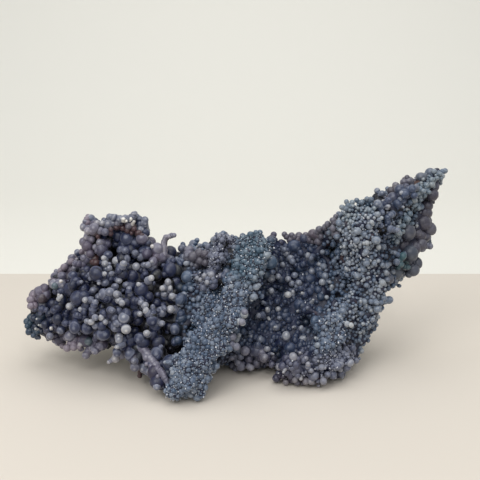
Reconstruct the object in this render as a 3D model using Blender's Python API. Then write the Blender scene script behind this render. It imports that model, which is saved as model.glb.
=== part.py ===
# Grape agate: one botryoidal chalcedony specimen, grown as a single piece.
# Chains of rounded masses are fused into one body, and grape lumps that stand
# side by side are fused to its whole surface.
# Axes: +X to the right of the show face, +Y to its back, +Z up.
# The tables below are in millimetres, everything else in metres.

import math

import bmesh
import bpy
import numpy as np

MM = 0.001

# Each mass is a chain of round sections: x, y, z of the middle, then the radius.
MASSES = {
    "head": [(-112, 2, 45, 22), (-88, 2, 53, 28), (-66, 4, 54, 26)],
    "head_front": [(-100, -10, 39, 19), (-82, -16, 41, 22), (-62, -16, 42, 20)],
    "head_tip": [(-116, 2, 41, 18), (-132, 2, 34, 12), (-142, 0, 30, 8)],
    "head_sole": [(-134, -2, 27, 8), (-116, -6, 27, 9), (-98, -10, 24, 10)],
    "head_shoulder": [(-112, 8, 55, 17), (-124, 7, 54, 12), (-138, 4, 49, 8), (-142, 2, 41, 7)],
    "hood": [
        (-99, 6, 82, 9), (-100, 5, 96, 7), (-85, 8, 99, 5), (-74, 7, 101, 5),
        (-72, 5, 90, 5), (-71, 4, 78, 8),
    ],
    "hood_wall": [(-94, 16, 82, 10), (-74, 16, 84, 10)],
    "bunch": [(-68, -22, 30, 17), (-67, -32, 22, 9), (-58, -41, 18, 7), (-45, -46, 12, 7)],
    "saddle": [(-58, 10, 56, 21), (-32, 12, 62, 18), (-8, 10, 62, 19), (14, 18, 60, 17)],
    "mound": [(-8, 6, 85, 10), (-12, -2, 74, 10), (-18, -12, 58, 10), (-26, -20, 44, 10)],
    "ridge": [
        (14, 12, 82, 9), (8, -4, 73, 9), (-2, -19, 59, 10), (-13, -31, 43, 11),
        (-25, -42, 28, 11), (-34, -54, 13, 12),
    ],
    "field_top": [(18, 26, 73, 9), (34, 32, 72, 8), (48, 34, 72, 7), (62, 31, 77, 8)],
    "neck": [(-42, -6, 46, 16), (-40, -14, 30, 14), (-46, -25, 18, 10)],
    "field": [(4, 24, 46, 19), (38, 32, 48, 17), (68, 26, 52, 18)],
    "field_slope": [(2, 2, 36, 17), (24, 8, 34, 17), (52, 8, 38, 18)],
    "field_foot": [(-14, -8, 18, 13), (8, -10, 17, 12), (30, -10, 17, 12), (58, -6, 22, 15)],
    "lobe": [(66, -6, 26, 15), (62, -25, 14, 12), (46, -33, 12, 10), (32, -33, 10, 8)],
    "fan": [(70, -8, 38, 12), (62, -20, 34, 11), (60, -24, 25, 10)],
    "column": [
        (67, -14, 14, 9), (78, -4, 26, 12), (86, 4, 41, 14),
        (90, 10, 57, 14), (88, 12, 76, 16), (84, 12, 96, 14),
    ],
    "hump": [(81, 13, 98, 9), (86, 15, 102, 12), (94, 18, 101, 13)],
    "hump_side": [(78, 14, 98, 9), (69, 18, 95, 6), (61, 23, 83, 6)],
    "wing": [
        (96, 20, 98, 14), (106, 24, 107, 11), (118, 32, 114, 10), (130, 40, 119, 8), (140, 47, 125, 6),
        (148, 50, 129, 4),
    ],
    "wing_blade": [
        (102, 22, 74, 14), (118, 32, 86, 11), (131, 40, 94, 9),
        (135, 44, 105, 6), (136, 46, 113, 5),
    ],
    "wing_edge": [(128, 38, 82, 8), (136, 42, 84, 5)],
    "wing_heel": [(100, 20, 60, 11), (113, 28, 64, 9), (126, 35, 64, 7)],
    "back": [(-84, 22, 48, 21), (-44, 26, 44, 23), (0, 30, 40, 23), (44, 32, 38, 21), (78, 24, 46, 17)],
    "rear_foot": [(-46, 30, 21, 19), (-8, 34, 19, 17), (36, 36, 19, 18), (56, 30, 23, 17)],
}
STALK = [(-53, 4, 78, 3.8), (-52, 4, 88, 2.8), (-50.5, 4, 93, 2.6), (-46.5, 4, 95, 2.4)]

# Grape lumps, smallest and largest radius, in millimetres.
HEAD_LUMPS = (5.6, 8.0)
RIGHT_LUMPS = (4.8, 7.0)
BACK_LUMPS = (8.0, 11.0)
THIN_LUMPS = (3.6, 5.0)
HEAD_END_X = -40 * MM
TIPS_X = (-134 * MM, 124 * MM)  # the thin ends lie beyond these
HOOD_Z = 86 * MM  # the thin hood of the head lies above this

BALL_SPACING = 0.3  # step along a chain, as a share of its thinner end's radius
BODY_VOXEL = 2.4 * MM
BODY_SMOOTHING = 6
LUMP_VOXEL = 1.4 * MM
LUMP_SEED = 22
LUMP_TRIES = 30000
LUMP_GAP = 0.94  # nearest two lumps, as a share of the sum of their radii
LUMP_PROUD = 0.30  # how far a lump's middle stands off the body, as a share of its radius
BACK_FACING = 0.5  # where the surface normal's Y is above this, the lumps are the big ones of the back
TRIANGLES = 9900
CUTTER_SIDE = 0.5


def clear_scene():
    for old in list(bpy.data.objects):
        bpy.data.objects.remove(old, do_unlink=True)


def unit_ball():
    """The points and triangles of a ball of radius 1."""
    shape = bmesh.new()
    bmesh.ops.create_icosphere(shape, subdivisions=3, radius=1)
    points = np.array([vert.co[:] for vert in shape.verts])
    triangles = np.array([[vert.index for vert in face.verts] for face in shape.faces])
    shape.free()
    return points, triangles


def balls_object(name, centres, radii):
    """One object that holds a ball at each centre."""
    points, triangles = unit_ball()
    count = len(centres)
    placed = points[None] * radii[:, None, None] + centres[:, None]
    offsets = np.arange(count)[:, None, None] * len(points)
    mesh = bpy.data.meshes.new(name)
    mesh.from_pydata(placed.reshape(-1, 3), [], (triangles[None] + offsets).reshape(-1, 3))
    made = bpy.data.objects.new(name, mesh)
    bpy.context.collection.objects.link(made)
    return made


def chain_balls(sections):
    """Overlapping balls along a chain of sections, which fuse into a smooth tapering mass."""
    sections = np.array(sections) * MM
    centres, radii = [], []
    for start, end in zip(sections, sections[1:]):
        length = np.linalg.norm(end[:3] - start[:3])
        steps = math.ceil(length / (BALL_SPACING * min(start[3], end[3])))
        shares = np.linspace(0, 1, steps + 1)[:, None]
        along = start + (end - start) * shares
        centres.append(along[:, :3])
        radii.append(along[:, 3])
    return np.vstack(centres), np.hstack(radii)


def joined(parts):
    """Centres and radii of several groups of balls as one group."""
    return np.vstack([centres for centres, _ in parts]), np.hstack([radii for _, radii in parts])


def apply_modifiers(obj):
    bpy.context.view_layer.update()
    graph = bpy.context.evaluated_depsgraph_get()
    mesh = bpy.data.meshes.new_from_object(obj.evaluated_get(graph))
    obj.modifiers.clear()
    obj.data = mesh


def fuse(obj, voxel):
    """Turns overlapping balls into one skin."""
    remesh = obj.modifiers.new("fuse", "REMESH")
    remesh.mode = "VOXEL"
    remesh.voxel_size = voxel


def keep_largest_shell(obj):
    """Deletes every shell but the largest: crumbs, and the skins of closed hollows."""
    shape = bmesh.new()
    shape.from_mesh(obj.data)
    left = set(shape.verts)
    shells = []
    while left:
        front = [left.pop()]
        shell = []
        while front:
            vert = front.pop()
            shell.append(vert)
            for edge in vert.link_edges:
                other = edge.other_vert(vert)
                if other in left:
                    left.remove(other)
                    front.append(other)
        shells.append(shell)
    shells.sort(key=len)
    spare = [vert for shell in shells[:-1] for vert in shell]
    bmesh.ops.delete(shape, geom=spare, context="VERTS")
    shape.to_mesh(obj.data)
    shape.free()


def make_body():
    body = balls_object("body", *joined([chain_balls(sections) for sections in MASSES.values()]))
    fuse(body, BODY_VOXEL)
    soften = body.modifiers.new("soften", "SMOOTH")
    soften.factor = 0.5
    soften.iterations = BODY_SMOOTHING
    apply_modifiers(body)
    return body


def surface_spots(obj, count, random):
    """Points spread evenly over the surface, with the surface normal at each."""
    mesh = obj.data
    mesh.calc_loop_triangles()
    points = np.empty(len(mesh.vertices) * 3)
    mesh.vertices.foreach_get("co", points)
    corners = np.empty(len(mesh.loop_triangles) * 3, np.int32)
    mesh.loop_triangles.foreach_get("vertices", corners)
    a, b, c = points.reshape(-1, 3)[corners].reshape(-1, 3, 3).transpose(1, 0, 2)
    cross = np.cross(b - a, c - a)
    doubled_area = np.linalg.norm(cross, axis=1)
    chosen = random.choice(len(a), size=count, p=doubled_area / doubled_area.sum())
    u, v = random.random((2, count, 1))
    folded = u + v > 1
    u, v = np.where(folded, 1 - u, u), np.where(folded, 1 - v, v)
    spots = a[chosen] + u * (b - a)[chosen] + v * (c - a)[chosen]
    return spots, cross[chosen] / doubled_area[chosen][:, None]


def lumps_over(body):
    """Middles and radii of grape lumps that stand side by side all over the body."""
    random = np.random.default_rng(LUMP_SEED)
    spots, normals = surface_spots(body, LUMP_TRIES, random)
    x, z = spots[:, :1], spots[:, 2:]
    sizes = np.where(x < HEAD_END_X, HEAD_LUMPS, RIGHT_LUMPS)
    sizes = np.where(normals[:, 1:2] > BACK_FACING, BACK_LUMPS, sizes)
    thin = (x < TIPS_X[0]) | (x > TIPS_X[1]) | (x < HEAD_END_X) & (z > HOOD_Z)
    sizes = np.where(thin, THIN_LUMPS, sizes) * MM
    radii = sizes[:, 0] + (sizes[:, 1] - sizes[:, 0]) * random.random(LUMP_TRIES) ** 1.5
    kept = []
    for index in range(LUMP_TRIES):
        gaps = np.linalg.norm(spots[kept] - spots[index], axis=1)
        if np.all(gaps > LUMP_GAP * (radii[kept] + radii[index])):
            kept.append(index)
    return spots[kept] + normals[kept] * radii[kept, None] * LUMP_PROUD, radii[kept]


def stone_material():
    stone = bpy.data.materials.new("blue_grey_chalcedony")
    stone.use_nodes = True
    surface = stone.node_tree.nodes["Principled BSDF"]
    surface.inputs["Base Color"].default_value = (0.13, 0.14, 0.23, 1)
    surface.inputs["Roughness"].default_value = 0.42
    surface.inputs["Metallic"].default_value = 0.0
    return stone


def floor_cutter():
    """A block whose top is the plane on which the specimen rests."""
    shape = bmesh.new()
    bmesh.ops.create_cube(shape, size=CUTTER_SIDE)
    bmesh.ops.translate(shape, verts=shape.verts, vec=(0, 0, -CUTTER_SIDE / 2))
    mesh = bpy.data.meshes.new("floor_cutter")
    shape.to_mesh(mesh)
    shape.free()
    cutter = bpy.data.objects.new("floor_cutter", mesh)
    bpy.context.collection.objects.link(cutter)
    cutter.hide_render = True
    cutter.display_type = "WIRE"
    return cutter


def stand_at_origin(obj):
    """Places the object so that the middle of its box is over the origin, and its base at zero height."""
    corners = np.array([vert.co for vert in obj.data.vertices])
    low, high = corners.min(axis=0), corners.max(axis=0)
    obj.location = (-(low[0] + high[0]) / 2, -(low[1] + high[1]) / 2, -low[2])


def make_agate():
    body = make_body()
    masses = [chain_balls(sections) for sections in MASSES.values()]
    agate = balls_object("grape_agate", *joined(masses + [lumps_over(body), chain_balls(STALK)]))
    bpy.data.objects.remove(body)
    fuse(agate, LUMP_VOXEL)
    apply_modifiers(agate)
    keep_largest_shell(agate)
    agate.data.calc_loop_triangles()
    thin = agate.modifiers.new("thin", "DECIMATE")
    thin.ratio = TRIANGLES / len(agate.data.loop_triangles)
    thin.use_collapse_triangulate = True
    rest = agate.modifiers.new("rest flat", "BOOLEAN")
    rest.operation = "DIFFERENCE"
    rest.object = floor_cutter()
    apply_modifiers(agate)
    keep_largest_shell(agate)
    stand_at_origin(agate)
    agate.data.materials.clear()
    agate.data.materials.append(stone_material())
    agate.data.shade_smooth()


clear_scene()
make_agate()
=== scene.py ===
# Grape agate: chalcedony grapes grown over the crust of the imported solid.
# The crust is the solid's surface, sunk by about the height of the grapes that cover it,
# so the grapes' tips come back to the surface of the solid.

import math

import bmesh
import bpy
import numpy as np
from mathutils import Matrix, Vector, noise
from mathutils.bvhtree import BVHTree
from mathutils.kdtree import KDTree


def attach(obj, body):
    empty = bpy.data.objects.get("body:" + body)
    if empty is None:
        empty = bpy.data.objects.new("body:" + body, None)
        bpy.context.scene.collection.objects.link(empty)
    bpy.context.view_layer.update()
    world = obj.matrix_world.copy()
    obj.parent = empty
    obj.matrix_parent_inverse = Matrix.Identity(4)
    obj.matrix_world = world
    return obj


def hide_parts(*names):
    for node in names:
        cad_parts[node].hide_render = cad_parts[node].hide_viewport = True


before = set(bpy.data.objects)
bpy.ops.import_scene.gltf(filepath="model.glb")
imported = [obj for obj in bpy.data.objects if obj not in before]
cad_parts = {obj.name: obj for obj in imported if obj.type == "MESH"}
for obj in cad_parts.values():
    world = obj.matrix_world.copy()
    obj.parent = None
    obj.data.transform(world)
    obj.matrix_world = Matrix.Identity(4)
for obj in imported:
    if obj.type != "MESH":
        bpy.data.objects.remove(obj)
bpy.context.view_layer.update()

mm = 0.001
partNode = "grape_agate"


def linear(code):
    # an sRGB hex colour as the linear colour that sockets take
    parts = [int(code[i:i + 2], 16) / 255 for i in (1, 3, 5)]
    return tuple(p / 12.92 if p <= 0.04045 else ((p + 0.055) / 1.055) ** 2.4 for p in parts) + (1.0,)


def addNode(tree, kind, links=None, **settings):
    # one node with its settings; links gives each input a socket or a value
    node = tree.nodes.new(kind)
    for key, value in settings.items():
        setattr(node, key, value)
    for key, value in (links or {}).items():
        if isinstance(value, bpy.types.NodeSocket):
            tree.links.new(value, node.inputs[key])
        else:
            node.inputs[key].default_value = value
    return node


def meshOf(obj):
    # the evaluated object as a plain mesh, with its attributes
    bpy.context.view_layer.update()
    graph = bpy.context.evaluated_depsgraph_get()
    evaluated = obj.evaluated_get(graph)
    return bpy.data.meshes.new_from_object(evaluated, preserve_all_data_layers=True, depsgraph=graph)


def newObject(name, data):
    made = bpy.data.objects.new(name, data)
    bpy.context.collection.objects.link(made)
    return made


def readPoints(mesh, what="co"):
    values = np.empty(len(mesh.vertices) * 3)
    mesh.vertices.foreach_get(what, values)
    return values.reshape(-1, 3)


def writeAttribute(mesh, name, values):
    attribute = mesh.attributes.new(name, "FLOAT", "POINT")
    attribute.data.foreach_set("value", np.ascontiguousarray(values, dtype=np.float32))


def zone(reach, fade, *line, depth=0):
    # a line along the specimen, how far something reaches from it, and over how much of that it fades, in mm
    return {"line": np.array(line) * mm, "reach": reach * mm, "fade": fade * mm, "depth": depth * mm}


# where each kind of growth is
growth = {
    "ridge": zone(19, 6, (12, 9, 90), (-2, -14, 73), (-14, -33, 52), (-28, -51, 30), (-34, -59, 12)),
    "mound": zone(13, 5, (-8, 5, 97), (-16, -1, 84), (-22, -11, 72)),
    "hump": zone(21, 7, (76, 17, 108), (90, 15, 112), (90, 3, 92), (78, 3, 84)),
    "column": zone(20, 7, (80, 3, 72), (88, -6, 52), (80, -8, 40)),
    "fan": zone(13, 5, (64, -24, 42), (60, -30, 30), (62, -30, 20)),
    "lobe": zone(17, 6, (74, -21, 12), (56, -31, 9), (38, -35, 11)),
    "field": zone(30, 14, (38, 23, 72), (36, 7, 50), (24, -13, 30), (32, -17, 18)),
    "saddle": zone(11, 5, (-34, 23, 86), (-30, 7, 84), (-26, 2, 78)),
    "bareStalk": zone(8, 2, (-53, 5, 84), (-52, 5, 100), (-42, 5, 104)),
    "hoodShade": zone(11, 4, (-87, 5, 92), (-78, 3, 93), (-71, 0, 87)),
    "navyHood": zone(13, 6, (-87, 5, 92), (-76, 3, 91), (-68, 0, 82)),
    "navyHollow": zone(10, 5, (-110, -16, 66), (-119, -12, 53), (-122, -19, 40)),
    "navyTip": zone(9, 4, (-141, -4, 31), (-132, -12, 36)),
    "tealRib": zone(10, 5, (149, 45, 131), (138, 38, 126), (130, 32, 115), (123, 28, 102), (115, 18, 91)),
    "wingBack": zone(11, 4, (144, 45, 112), (140, 41, 100), (134, 29, 86), (124, 24, 84)),
    "wingFoot": zone(10, 4, (124, 25, 67), (110, 6, 67)),
    "wingPurple": zone(11, 4, (102, 16, 117), (110, 22, 118), (123, 31, 122)),
    "tealHeel": zone(8, 5, (117, 21, 66), (122, 19, 75)),
    "tealRidge": zone(17, 9, (12, 11, 90), (4, -9, 78)),
    "tealHump": zone(14, 8, (78, 17, 108), (88, 19, 112)),
    "tealTip": zone(12, 6, (-152, 2, 34), (-142, -3, 30)),
    "pinkEdge": zone(15, 8, (-102, 3, 92), (-122, 5, 74), (-146, 1, 54)),
    "pinkSole": zone(13, 8, (-132, -7, 20), (-102, -23, 20), (-80, -33, 14)),
    "pinkRim": zone(8, 5, (30, 39, 86), (60, 31, 90)),
    "pinkFieldFoot": zone(14, 6, (0, -21, 8), (16, -21, 8)),
    "rustHood": zone(6, 3, (-90, 7, 100), (-72, 7, 99)),
    "rustCavity": zone(8, 4, (-103, -6, 82), (-99, -6, 79)),
    "rustBunch": zone(8, 5, (-72, -37, 16), (-58, -45, 10)),
    "rustFringe": zone(9, 5, (104, 29, 120), (129, 47, 128)),
    "rustSole": zone(8, 5, (22, -33, 3), (58, -31, 3)),
}
hollows = {
    # where the crust is drawn in, by a depth
    "hood": zone(10, 6, (-90, 5, 93), (-78, 3, 93), (-72, 0, 88), depth=9),
    "rustCavity": zone(7, 4, (-103, -8, 82), (-99, -8, 79), depth=6),
    "headHole": zone(6, 4, (-99, -23, 71), (-97, -25, 69), depth=6),
    "navyHollow": zone(9, 5, (-112, -15, 65), (-119, -12, 53), (-122, -19, 40), depth=5),
    "moundGap": zone(6, 4, (-6, 3, 88), (-6, -7, 78), (-16, -15, 64), depth=5),
    "lobeGap": zone(8, 5, (76, -19, 38), (74, -21, 28), depth=7),
    "wingGap": zone(8, 4, (101, 13, 114), (102, 12, 100), (105, 10, 86), (110, 9, 76), depth=9),
    "fieldGap": zone(8, 5, (16, -1, 60), (14, -13, 42), depth=4),
    "saddleGap": zone(6, 4, (-25, 1, 80), (-26, 2, 74), depth=4),
    "wingNotch": zone(9, 5, (88, 31, 114), (98, 35, 118), depth=8),
    "heelGap": zone(6, 4, (116, 19, 86), (121, 21, 82), depth=6),
    "purpleGap": zone(5, 3, (102, 14, 108), (108, 18, 107), (113, 22, 107), depth=6),
    "ribGap": zone(5, 3, (98, 10, 98), (104, 13, 99), depth=6),
    "headGap": zone(5, 3, (-91, -23, 58), (-84, -30, 59), (-80, -25, 60), (-78, -19, 64), depth=6),
    "headGapFront": zone(5, 3, (-73, -36, 51), (-69, -37, 51), depth=6),
    "headGapRight": zone(5, 3, (-57, -24, 57), (-58, -23, 65), depth=6),
    "headGapFoot": zone(5, 3, (-52, -28, 38), (-48, -27, 38), depth=5),
    "headGapTop": zone(5, 3, (-72, -1, 80), (-61, -3, 78), depth=5),
}


def nearLine(points, place):
    # 1 on the line, 0 beyond its reach
    nearest = np.full(len(points), np.inf)
    for start, end in zip(place["line"], place["line"][1:]):
        run = end - start
        along = np.clip((points - start) @ run / (run @ run), 0, 1)[:, None]
        nearest = np.minimum(nearest, np.linalg.norm(points - start - along * run, axis=1))
    return np.clip((place["reach"] - nearest) / place["fade"], 0, 1)


def ramp(values, low, high):
    return np.clip((values - low) / (high - low), 0, 1)


# the crust

crust = {
    "draftVoxel": 1.5 * mm,
    "voxel": 1.6 * mm,
    "sink": {"head": 3.2 * mm, "fine": 1.5 * mm, "druse": 0.7 * mm, "back": 2.0 * mm},
    "noduleSize": {"head": 13 * mm, "fine": 7 * mm, "druse": 5.5 * mm, "back": 15 * mm},
    "noduleReach": 0.75,
    "noduleDepth": {"head": 8.5 * mm, "fine": 2.2 * mm, "druse": 1.7 * mm, "back": 4 * mm},
    "thinShare": 0.22,  # most that a thin part is sunk, as a share of its thickness
    "headEndX": -38 * mm,
    "bareShare": 0.8,  # how much less the bare stalk is sunk
    "lumpShare": 0.4,  # and the wing's smooth lumps
    "mergeWithin": 0.001 * mm,
    "smoothings": 2,
    "softening": 0.5,
    "rays": 18,
    "rayReach": 22 * mm,
    "offSkin": 0.6 * mm,  # where a ray out of the crust starts
    "underSkin": 0.3 * mm,  # where a ray through the crust starts
    "noFarSide": 1.0,  # thickness in metres where it meets nothing
    "nearlyUpright": 0.9,
    "floorClear": 2.5 * mm,  # the height from which everything grows in full
    "floorFade": 0.6,  # and it begins at this share of it
}


def remeshed(obj, voxel, smoothing=0):
    remesh = obj.modifiers.new("skin", "REMESH")
    remesh.mode = "VOXEL"
    remesh.voxel_size = voxel
    remesh.use_smooth_shade = True
    if smoothing:
        soften = obj.modifiers.new("soften", "SMOOTH")
        soften.factor = crust["softening"]
        soften.iterations = smoothing
    mesh = meshOf(obj)
    obj.modifiers.clear()
    obj.data = mesh
    return mesh


def nodules(points, size):
    # 1 on the top of each nodule of the crust, 0 in the creases between them
    nearest = np.array([noise.voronoi(Vector(p))[0][0] for p in points / size])
    return 1 - np.clip(nearest / crust["noduleReach"], 0, 1) ** 2


# kinds of growth made of several zones, each with its share; the strongest one at a place counts
mixes = {
    "druse": {"ridge": 1, "mound": 1, "fan": 1},
    "crowded": {"hump": 1, "column": 0.8, "lobe": 0.3, "tealRib": 1},
    "teal": {"tealRib": 0.6, "tealHeel": 1, "tealTip": 0.5, "tealRidge": 0.7, "tealHump": 0.5},
    "pink": {"pinkEdge": 1, "pinkSole": 1, "pinkFieldFoot": 1, "pinkRim": 1, "mound": 0.7, "lobe": 0.7,
             "saddle": 1, "bareStalk": 1},
    "rust": {"rustHood": 1, "rustCavity": 1, "rustBunch": 1, "rustFringe": 1, "rustSole": 1, "back": 0.35},
    "navy": {"hollowField": 1, "navyHood": 1, "navyHollow": 1, "navyTip": 1},
    "umber": {"wingBack": 1, "wingFoot": 1, "saddle": 0.5},
    "sparkle": {"druse": 1, "hump": 1, "lobe": 0.6, "fine": 0.06},
    "navyThin": {"navyHollow": 0.75, "navyTip": 0.75},
}
edges = {
    # from where to where each fades in
    "head": (-5 * mm, 5 * mm), "backward": (0.3, 0.7), "behind": (4 * mm, 22 * mm), "forward": (-0.1, 0.3),
    "tops": (0.35, 0.7), "loose": (0.1, 0.5),
}
thinning = {
    # how much less grows there
    "hood": 0.9, "gap": 0.6, "middleInFront": 0.55, "topsInFront": 0.85, "backRim": 0.9, "fineInDeep": 0.6,
    "looseInDeep": 0.5, "looseOnDruse": 0.85, "looseOnHump": 0.6,
}


def growthAt(points, normals):
    # what grows at each point: a weight from 0 to 1 for each kind
    near = {name: nearLine(points, place) for name, place in growth.items()}

    def mixed(kind):
        return np.maximum.reduce([share * near[name] for name, share in mixes[kind].items()])

    x, y, z = points.T
    less = thinning
    head = ramp(crust["headEndX"] - x, *edges["head"])
    back = near["back"] = ramp(normals[:, 1], *edges["backward"]) * ramp(y, *edges["behind"])
    front = ramp(-normals[:, 1], *edges["forward"])
    bare, rib = near["bareStalk"], near["tealRib"]
    gap = np.maximum.reduce([nearLine(points, place) for place in hollows.values()]) * (1 - back)
    lumps = near["wingBack"] * (1 - back)
    clear = (1 - np.maximum(bare, lumps)) * (1 - less["hood"] * near["hoodShade"]) * (1 - less["gap"] * gap)
    clear *= (1 - near["rustCavity"]) * (1 - mixed("navyThin"))
    clear *= ramp(z, crust["floorFade"] * crust["floorClear"], crust["floorClear"])
    druse = near["druse"] = mixed("druse") * (1 - back)
    head = head * (1 - druse) * (1 - back)
    fine = near["fine"] = (1 - head) * (1 - back)
    field = near["hollowField"] = near["field"] * (1 - near["column"])
    size = crust["noduleSize"]
    nodule = head * nodules(points, size["head"])
    nodule += fine * (1 - druse) * nodules(points, size["fine"])
    nodule += fine * druse * nodules(points, size["druse"])
    nodule += back * (1 - head) * nodules(points, size["back"])
    tops = ramp(nodule, *edges["tops"])
    loose = (1 - less["looseOnDruse"] * druse) * (1 - less["looseOnHump"] * near["hump"])
    loose *= ramp(nodule, *edges["loose"])
    deep = np.maximum(field * (1 - druse), near["wingPurple"] * (1 - rib))
    big = lumps * (1 - rib)
    return {
        "head": head * clear, "headMiddle": head * clear * (1 - less["middleInFront"] * front),
        "headTops": head * clear * tops * (1 - less["topsInFront"] * front),
        "back": back * clear * (1 - less["backRim"] * near["pinkRim"]),
        "fine": fine * clear * (1 - less["fineInDeep"] * deep) * (1 - big),
        "druse": druse * clear, "crowded": mixed("crowded") * (1 - back) * clear,
        "loose": fine * clear * loose * (1 - less["looseInDeep"] * deep) * (1 - big),
        "sparkle": mixed("sparkle") * (1 - back) * clear, "nodule": np.clip(nodule, 0, 1), "gap": gap,
        "deep": deep * clear, "lumps": big, "umber": mixed("umber"), "bare": bare, "teal": mixed("teal"),
        "pink": mixed("pink"), "rust": mixed("rust"), "navy": mixed("navy") * (1 - druse),
    }


def skyShare(points, normals, tree):
    # share of rays from each point that meet nothing near: 0 deep in a hollow, 1 on a peak
    count = crust["rays"]
    turn = math.pi * (3 - math.sqrt(5))
    lift = np.sqrt(1 - (np.arange(count) + 0.5) / count)
    out = np.sqrt(1 - lift ** 2)
    around = turn * np.arange(count)
    local = np.stack([out * np.cos(around), out * np.sin(around), lift], axis=1)
    upright = np.abs(normals[:, 2:]) > crust["nearlyUpright"]
    side = np.cross(normals, np.where(upright, (1, 0, 0), (0, 0, 1)))
    side /= np.linalg.norm(side, axis=1)[:, None]
    other = np.cross(normals, side)
    free = np.zeros(len(points))
    starts = [Vector(p) for p in points + normals * crust["offSkin"]]
    for u, v, w in local:
        ways = side * u + other * v + normals * w
        hits = [tree.ray_cast(start, Vector(way), crust["rayReach"])[0] for start, way in zip(starts, ways)]
        free += [hit is None for hit in hits]
    return free / count


def solidTree(obj):
    bpy.context.view_layer.update()
    return BVHTree.FromObject(obj, bpy.context.evaluated_depsgraph_get())


def thicknesses(points, normals, tree):
    # how far each point is from the far side of the solid, straight in
    starts = points - normals * crust["underSkin"]
    found = [tree.ray_cast(Vector(p), Vector(n))[3] for p, n in zip(starts, -normals)]
    return np.array([crust["noFarSide"] if value is None else value for value in found])


def makeCrust():
    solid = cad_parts[partNode]
    shape = bmesh.new()
    shape.from_mesh(solid.data)
    bmesh.ops.remove_doubles(shape, verts=shape.verts, dist=crust["mergeWithin"])
    mesh = bpy.data.meshes.new("crust")
    shape.to_mesh(mesh)
    shape.free()
    made = newObject("agateCrust", mesh)
    mesh = remeshed(made, crust["draftVoxel"], crust["smoothings"])
    points, normals = readPoints(mesh), readPoints(mesh, "normal")
    kinds = growthAt(points, normals)
    depth, hills = crust["sink"], crust["noduleDepth"]
    sink = depth["fine"] * np.ones(len(points))
    hill = hills["fine"] * np.ones(len(points))
    for name in ("head", "back", "druse"):
        sink += (depth[name] - sink) * kinds[name]
        hill += (hills[name] - hill) * kinds[name]
    sink += hill * (1 - kinds["nodule"])
    sink *= 1 - np.maximum(crust["bareShare"] * kinds["bare"], crust["lumpShare"] * kinds["lumps"])
    for place in hollows.values():
        sink += place["depth"] * nearLine(points, place) * (1 - kinds["back"])
    sink = np.minimum(sink, crust["thinShare"] * thicknesses(points, normals, solidTree(made)))
    mesh.vertices.foreach_set("co", (points - normals * sink[:, None]).ravel())
    mesh = remeshed(made, crust["voxel"])
    points, normals = readPoints(mesh), readPoints(mesh, "normal")
    for name, values in growthAt(points, normals).items():
        writeAttribute(mesh, name, values)
    # openness, which the materials turn into painted shade: the less open a place is, the darker it is
    writeAttribute(mesh, "openness", skyShare(points, normals, solidTree(made)))
    print("crust:", len(mesh.polygons), "faces")
    return made


# grape shapes, in units of the grape's radius, root at zero and tip up

grapeShapes = {
    # each ball: x, y, height of its middle, radius
    "single": [(0, 0, 0.6, 1.0)],
    "stalked": [(0, 0, 1.55, 1.0), (0.05, 0, 0.25, 0.72)],
    "leaning": [(0, 0, 0.5, 0.9), (0.42, 0.1, 1.75, 0.9)],
    "cluster": [(0, 0, 0.9, 1.0), (0.95, 0.25, 0.75, 0.62), (-0.55, 0.8, 0.7, 0.68)],
}
smoothShape = {"balls": [(0, 0, 0, 1.0)], "steps": 3}
domeShapes = {
    # each ring: radius and height; the last one is the top
    "seed": {"rings": [(0.82, -0.45), (1.0, 0.2), (0.74, 0.78)], "top": 1.08, "sides": 7},
    "bead": {"rings": [(0.85, -0.5), (0.95, 0.4)], "top": 1.1, "sides": 6},
    "point": {"rings": [(0.5, -0.6), (0.62, 0.2)], "top": 1.1, "sides": 4},
}


def ballsShape(name, balls, steps=2):
    shape = bmesh.new()
    for x, y, height, radius in balls:
        made = bmesh.ops.create_icosphere(shape, subdivisions=steps, radius=radius)
        bmesh.ops.translate(shape, verts=made["verts"], vec=(x, y, height))
    return finishedShape(name, shape, max(height + radius for x, y, height, radius in balls))


def domeShape(name, dome):
    shape = bmesh.new()
    sides = dome["sides"]
    loops = []
    for radius, height in dome["rings"]:
        angles = [2 * math.pi * k / sides for k in range(sides)]
        loops.append([shape.verts.new((radius * math.cos(a), radius * math.sin(a), height)) for a in angles])
    for lower, upper in zip(loops, loops[1:]):
        for k in range(sides):
            shape.faces.new((lower[k], lower[k - 1], upper[k - 1], upper[k])[::-1])
    top = shape.verts.new((0, 0, dome["top"]))
    for k in range(sides):
        shape.faces.new((loops[-1][k - 1], loops[-1][k], top))
    shape.faces.new(loops[0][::-1])
    return finishedShape(name, shape, dome["top"])


def finishedShape(name, shape, tipHeight):
    mesh = bpy.data.meshes.new(name)
    bmesh.ops.recalc_face_normals(shape, faces=shape.faces)
    shape.to_mesh(mesh)
    shape.free()
    writeAttribute(mesh, "tip", np.clip(readPoints(mesh)[:, 2] / tipHeight, 0, 1))
    made = newObject(name, mesh)
    made.location.z = -1  # kept out of the way until it is scattered
    return made


def shapeGroup(name, made):
    group = bpy.data.collections.new(name)
    bpy.context.scene.collection.children.link(group)
    for shape in made:
        group.objects.link(shape)
    return group


# scattering

scatterForm = {
    "density": 3.0,  # points tried for each square of the spacing
    "clumpEdge": (0.44, 0.56),
    "mostlySmall": 1.6,  # power that makes small grapes the commoner ones
    "stretch": ((0.86, 0.86, 0.86), (1.1, 1.1, 1.16)),
    "lastPick": 11,
}


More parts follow.
